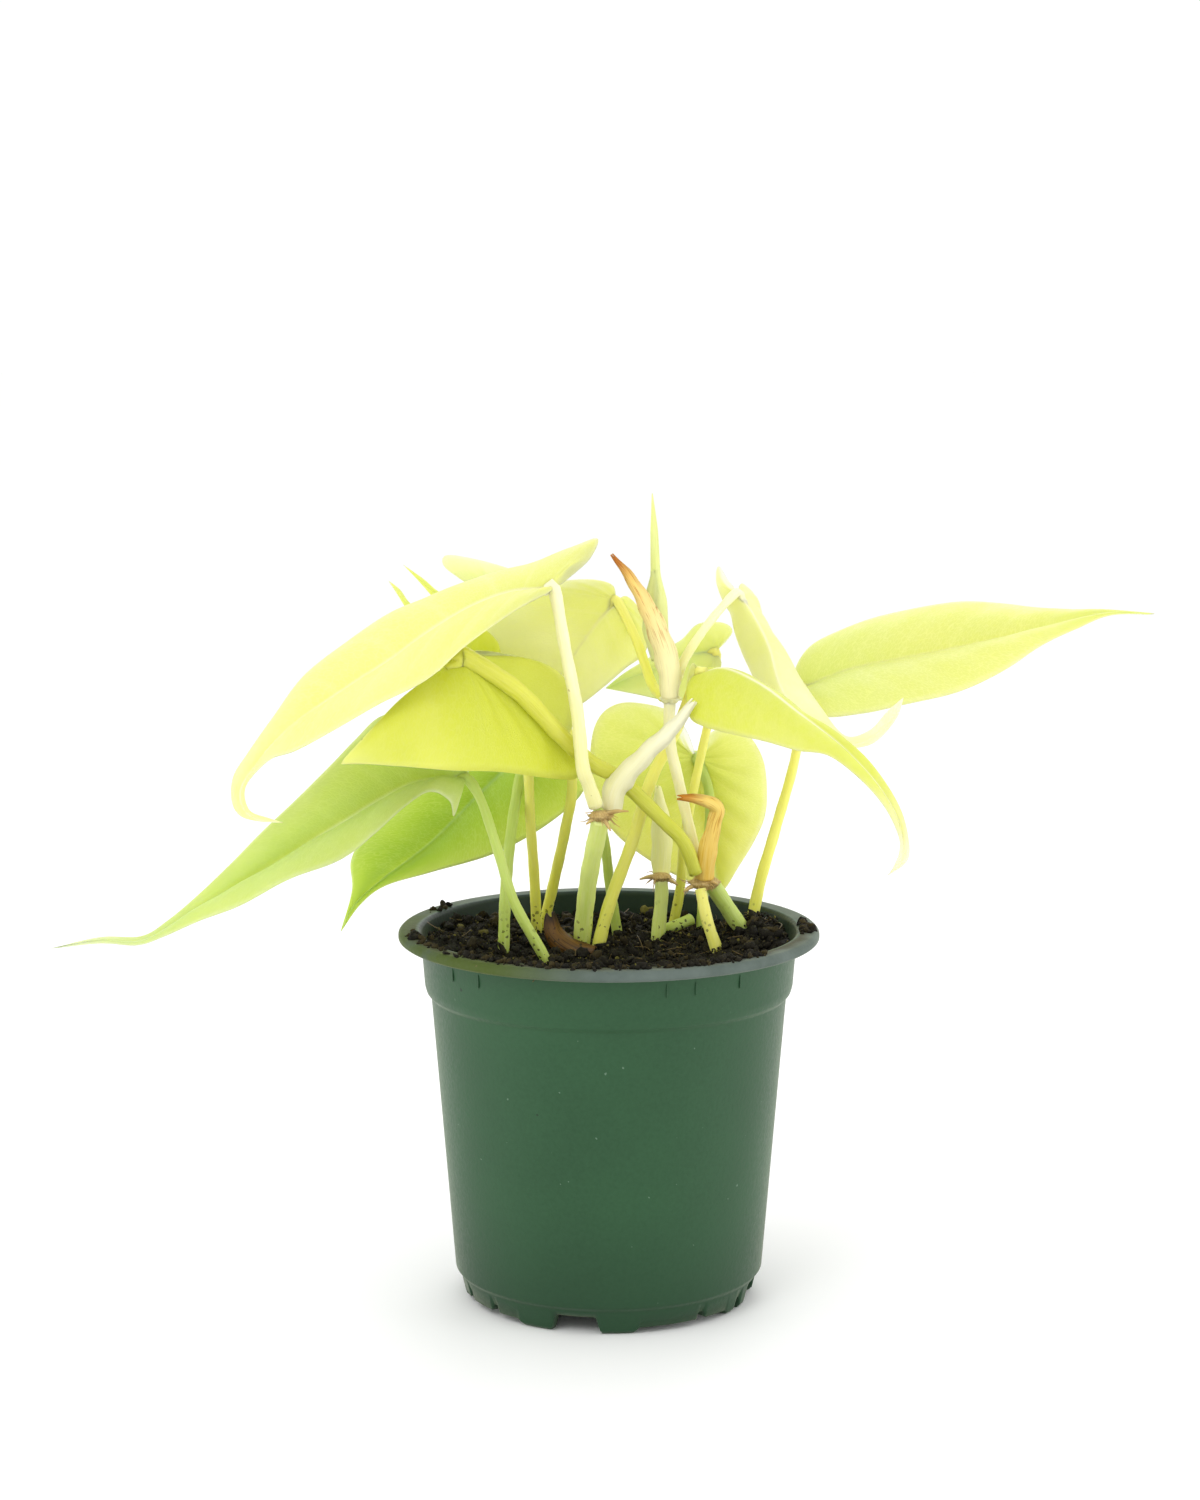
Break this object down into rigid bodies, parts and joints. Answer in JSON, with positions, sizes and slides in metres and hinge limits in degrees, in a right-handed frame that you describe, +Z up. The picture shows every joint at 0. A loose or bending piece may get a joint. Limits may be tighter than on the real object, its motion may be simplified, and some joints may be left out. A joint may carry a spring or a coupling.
{
  "type": "potted gold heartleaf philodendron",
  "caption": "Young heartleaf philodendron with golden green leaves in a round green plastic nursery pot with soil, for a shelf, sill or table.",
  "frame": {"origin": "middle of the object's box, on the plane that the pot's feet stand on", "axes": "+Z up, +X to the right along the plant's widest spread and +Y to the back, seen as in the picture"},
  "size_m": [0.2946, 0.114, 0.219],
  "materials": {
    "pot": "semi-matt moulded green plastic, dusty and greyed towards the rim",
    "soil": "dark crumbly peat potting mix",
    "gold": "satin golden yellow leaf",
    "lime": "satin lime green leaf",
    "green": "satin yellow-green leaf",
    "cream": "waxy cream stem or sheath",
    "stem": "waxy olive green stem",
    "dried": "dry papery orange-brown sheath or root"
  },
  "bodies": {
    "root": {"nursery_pot": "pot", "potting_soil": "soil", "cane_left": "green", "cane_middle": "gold", "cut_stub": "green", "dried_bract": "dried", "leaf_back_lobe": "gold", "leaf_drooping_right": "lime", "leaf_far_right": "gold", "leaf_folded_right": "gold", "leaf_front": "lime", "leaf_gold_middle": "gold", "leaf_green_left": "green", "leaf_green_low": "green", "leaf_hanging_back": "lime", "leaf_hidden_lower": "lime", "leaf_hidden_upper": "lime", "leaf_long_left": "gold", "leaf_rolled_new": "lime", "leaf_small_back": "green", "node_left": "dried", "node_middle": "dried", "node_right": "dried", "node_upper": "dried", "petiole_back_lobe": "stem", "petiole_drooping_right": "stem", "petiole_far_right": "stem", "petiole_folded_right": "cream", "petiole_front": "stem", "petiole_gold_middle": "stem", "petiole_green_left": "green", "petiole_green_low": "green", "petiole_hanging_back": "green", "petiole_hidden_lower": "green", "petiole_hidden_upper": "stem", "petiole_long_left": "cream", "petiole_small_back": "stem", "sheath_brown": "dried", "sheath_cream": "cream", "sheath_orange": "dried", "sheath_pale": "cream", "vine_lower_joint": "green", "vine_pale_root": "stem", "vine_upper_joint": "cream"}
  },
  "joints": []
}
